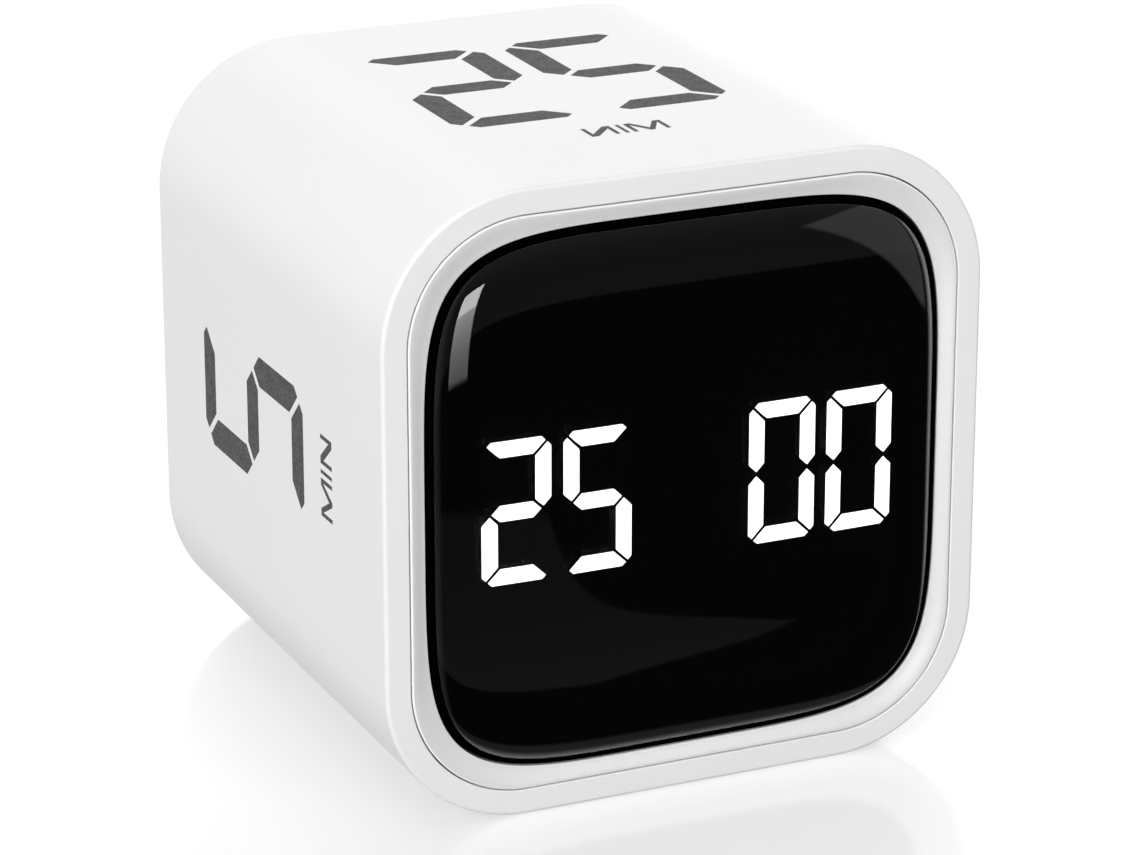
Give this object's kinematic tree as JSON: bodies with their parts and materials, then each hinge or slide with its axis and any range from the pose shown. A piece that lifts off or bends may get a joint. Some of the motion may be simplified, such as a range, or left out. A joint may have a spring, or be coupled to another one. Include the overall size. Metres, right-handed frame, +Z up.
{
  "type": "cube kitchen timer",
  "caption": "White rounded cube timer with a domed smoked window over lit segment digits, keys, a slide switch and a charging socket on its back; set on a side to start.",
  "frame": {"origin": "under the middle of the cube, on the surface it stands on", "axes": "+Z up, window towards -Y, +X to the right of someone who reads the digits"},
  "size_m": [0.06, 0.06, 0.06],
  "materials": {
    "white_plastic": "fine satin-matt white moulding",
    "satin_silver": "satin silver-white lacquer",
    "black_plastic": "black, faint gloss",
    "smoked_window": "smoked black, high gloss",
    "lit_segment": "milky diffuser, lit white",
    "white_reflector": "white moulding",
    "circuit_board": "green solder mask over glass-epoxy",
    "steel": "plated steel",
    "grey_plastic": "satin grey moulding",
    "black_package": "matt black moulding compound",
    "black_foam": "closed-cell foam",
    "silver_pouch": "aluminium laminate pouch over the cell's layers",
    "cream_plastic": "natural nylon",
    "red_lead": "silicone insulation over copper",
    "black_lead": "silicone insulation over copper"
  },
  "bodies": {
    "housing": {"main_shell": "white_plastic", "front_bezel": "satin_silver", "lens_frame": "black_plastic", "front_lens": "smoked_window", "display_mask": "black_plastic", "minute_tens_digit": "lit_segment", "minute_units_digit": "lit_segment", "second_tens_digit": "lit_segment", "second_units_digit": "lit_segment", "light_reflector": "white_reflector", "display_board": "circuit_board", "display_screw_1": "steel", "display_screw_2": "steel", "display_screw_3": "steel", "display_screw_4": "steel", "display_ribbon_socket": "cream_plastic", "display_ribbon": "cream_plastic", "main_ribbon_socket": "cream_plastic", "back_cover": "white_plastic", "cover_screw_1": "steel", "cover_screw_2": "steel", "cover_screw_3": "steel", "cover_screw_4": "steel", "main_board": "circuit_board", "board_screw_1": "steel", "board_screw_2": "steel", "board_screw_3": "steel", "board_screw_4": "steel", "microcontroller": "black_package", "tilt_sensor": "black_package", "charge_controller": "black_package", "minute_key_switch": "steel", "second_key_switch": "steel", "start_key_switch": "steel", "slide_switch": "steel", "socket_shell": "steel", "socket_tongue": "black_package", "buzzer": "black_package", "buzzer_gasket": "black_foam", "battery_cell": "silver_pouch", "battery_pad": "black_foam", "battery_plug": "cream_plastic", "battery_socket": "cream_plastic", "battery_lead_positive": "red_lead", "battery_lead_negative": "black_lead"},
    "minute_key": {"minute_key": "grey_plastic", "minute_key_plunger": "black_package"},
    "second_key": {"second_key": "grey_plastic", "second_key_plunger": "black_package"},
    "start_key": {"start_key": "grey_plastic", "start_key_plunger": "black_package"},
    "sound_slide": {"slide_knob": "grey_plastic", "slide_lever": "black_package"}
  },
  "joints": [
    {"name": "minute_key_press", "type": "slide", "parent": "housing", "child": "minute_key", "axis": [0, -1, 0], "range_m": [0, 0.0004], "stiffness_N_per_m": 3000},
    {"name": "second_key_press", "type": "slide", "parent": "housing", "child": "second_key", "axis": [0, -1, 0], "range_m": [0, 0.0004], "stiffness_N_per_m": 3000},
    {"name": "start_key_press", "type": "slide", "parent": "housing", "child": "start_key", "axis": [0, -1, 0], "range_m": [0, 0.0004], "stiffness_N_per_m": 3000},
    {"name": "sound_slide_move", "type": "slide", "parent": "housing", "child": "sound_slide", "axis": [1, 0, 0], "range_m": [0, 0.004]}
  ]
}
